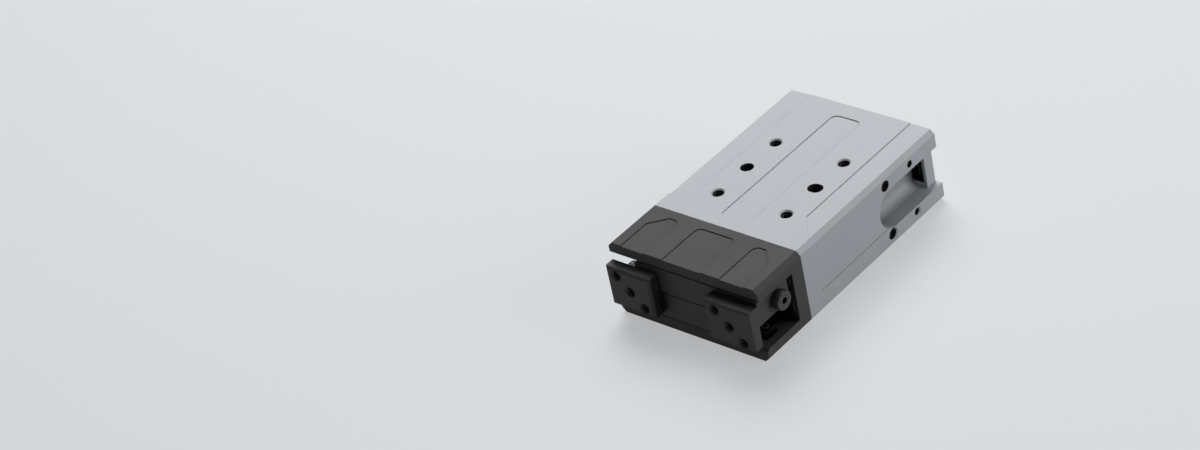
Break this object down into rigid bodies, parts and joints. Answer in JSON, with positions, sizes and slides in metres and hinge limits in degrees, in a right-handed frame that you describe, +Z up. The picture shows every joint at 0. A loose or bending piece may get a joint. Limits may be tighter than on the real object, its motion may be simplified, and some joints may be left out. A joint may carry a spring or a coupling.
{
  "type": "electric parallel gripper",
  "caption": "Slim two-jaw electric parallel gripper: grey body with mounting holes, black head, ball-guided sliders, rack and pinion, planetary gear motor.",
  "frame": {"origin": "middle of the four mounting holes in the bottom face", "axes": "+X across the gripper to the side with the cable slot, +Y from the jaws to the rear cover, +Z up"},
  "size_m": [0.042, 0.065, 0.018],
  "materials": {
    "black_anodised": "black anodised, fine bead-blasted",
    "grey_anodised": "clear grey anodised, fine bead-blasted",
    "jaw_steel": "blackened steel, ground",
    "black_screw": "black oxide",
    "steel": "ground steel",
    "rail_steel": "hardened, thin black chromium",
    "bronze": "sintered bronze",
    "gear_steel": "cut steel",
    "cage_brass": "rolled sheet",
    "copper_winding": "enamelled wire",
    "magnet": "nickel-plated magnet",
    "motor_steel": "plated steel",
    "board_green": "solder mask",
    "black_plastic": "moulded",
    "gold_contact": "gold-plated",
    "lead_film": "polyimide film"
  },
  "bodies": {
    "housing": {"head_frame": "black_anodised", "body_housing": "grey_anodised", "rear_cover": "grey_anodised", "head_screws": "black_screw", "dowel_pins": "steel", "cover_screws": "black_screw", "upper_guide_rail": "rail_steel", "lower_guide_rail": "rail_steel", "rail_screws": "black_screw", "bearing_outer_race": "steel", "gearbox_flange": "motor_steel", "gearbox_screws": "black_screw", "carrier_bush": "bronze", "ring_gear": "gear_steel", "motor_plate": "motor_steel", "motor_can": "motor_steel", "motor_winding": "copper_winding", "motor_terminals": "gold_contact", "motor_end_bell": "motor_steel", "motor_front_bearing": "steel", "motor_rear_bearing": "steel", "encoder_board": "board_green", "control_board": "board_green", "drive_chips": "black_plastic", "board_screws": "black_screw", "encoder_lead": "lead_film", "socket_lead": "lead_film", "cable_socket": "black_plastic", "socket_contacts": "gold_contact"},
    "right_jaw": {"right_jaw": "jaw_steel", "right_rack": "gear_steel", "right_rack_screws": "black_screw", "right_end_screw": "black_screw"},
    "left_jaw": {"left_jaw": "jaw_steel", "left_rack": "gear_steel", "left_rack_screws": "black_screw", "left_end_screw": "black_screw"},
    "upper_cage": {"upper_ball_cage": "cage_brass", "upper_guide_balls": "steel"},
    "lower_cage": {"lower_ball_cage": "cage_brass", "lower_guide_balls": "steel"},
    "output": {"pinion": "gear_steel", "planet_carrier": "gear_steel", "bearing_inner_race": "steel"},
    "planet_1": {"planet_gear_1": "gear_steel"},
    "planet_2": {"planet_gear_2": "gear_steel"},
    "planet_3": {"planet_gear_3": "gear_steel"},
    "rotor": {"sun_gear": "gear_steel", "rotor_shaft": "steel", "rotor_magnet": "magnet", "encoder_magnet": "magnet"}
  },
  "joints": [
    {"name": "right_jaw_slide", "type": "slide", "parent": "housing", "child": "right_jaw", "axis": [-1, 0, 0], "range_m": [0, 0.006]},
    {"name": "left_jaw_slide", "type": "slide", "parent": "housing", "child": "left_jaw", "axis": [1, 0, 0], "range_m": [0, 0.006]},
    {"name": "upper_cage_slide", "type": "slide", "parent": "housing", "child": "upper_cage", "axis": [-1, 0, 0], "range_m": [0, 0.003]},
    {"name": "lower_cage_slide", "type": "slide", "parent": "housing", "child": "lower_cage", "axis": [1, 0, 0], "range_m": [0, 0.003]},
    {"name": "output_turn", "type": "hinge", "parent": "housing", "child": "output", "pos_m": [0, -0.0249, 0.009], "axis": [0, -1, 0], "range_deg": [0, 114.6]},
    {"name": "rotor_turn", "type": "hinge", "parent": "housing", "child": "rotor", "pos_m": [0, -0.0039, 0.009], "axis": [0, -1, 0], "range_deg": [0, 458.38]},
    {"name": "planet_1_turn", "type": "hinge", "parent": "output", "child": "planet_1", "pos_m": [0, -0.0135, 0.0126], "axis": [0, -1, 0], "range_deg": [-343.78, 0]},
    {"name": "planet_2_turn", "type": "hinge", "parent": "output", "child": "planet_2", "pos_m": [-0.00312, -0.0135, 0.0072], "axis": [0, -1, 0], "range_deg": [-343.78, 0]},
    {"name": "planet_3_turn", "type": "hinge", "parent": "output", "child": "planet_3", "pos_m": [0.00312, -0.0135, 0.0072], "axis": [0, -1, 0], "range_deg": [-343.78, 0]}
  ],
  "couplings": [
    {"joint": "left_jaw_slide", "follows": "right_jaw_slide", "ratio": 1},
    {"joint": "upper_cage_slide", "follows": "right_jaw_slide", "ratio": 0.5},
    {"joint": "lower_cage_slide", "follows": "right_jaw_slide", "ratio": 0.5},
    {"joint": "output_turn", "follows": "right_jaw_slide", "rad_per_m": 333.33},
    {"joint": "rotor_turn", "follows": "right_jaw_slide", "rad_per_m": 1333.3},
    {"joint": "planet_1_turn", "follows": "right_jaw_slide", "rad_per_m": -1000},
    {"joint": "planet_2_turn", "follows": "right_jaw_slide", "rad_per_m": -1000},
    {"joint": "planet_3_turn", "follows": "right_jaw_slide", "rad_per_m": -1000}
  ]
}
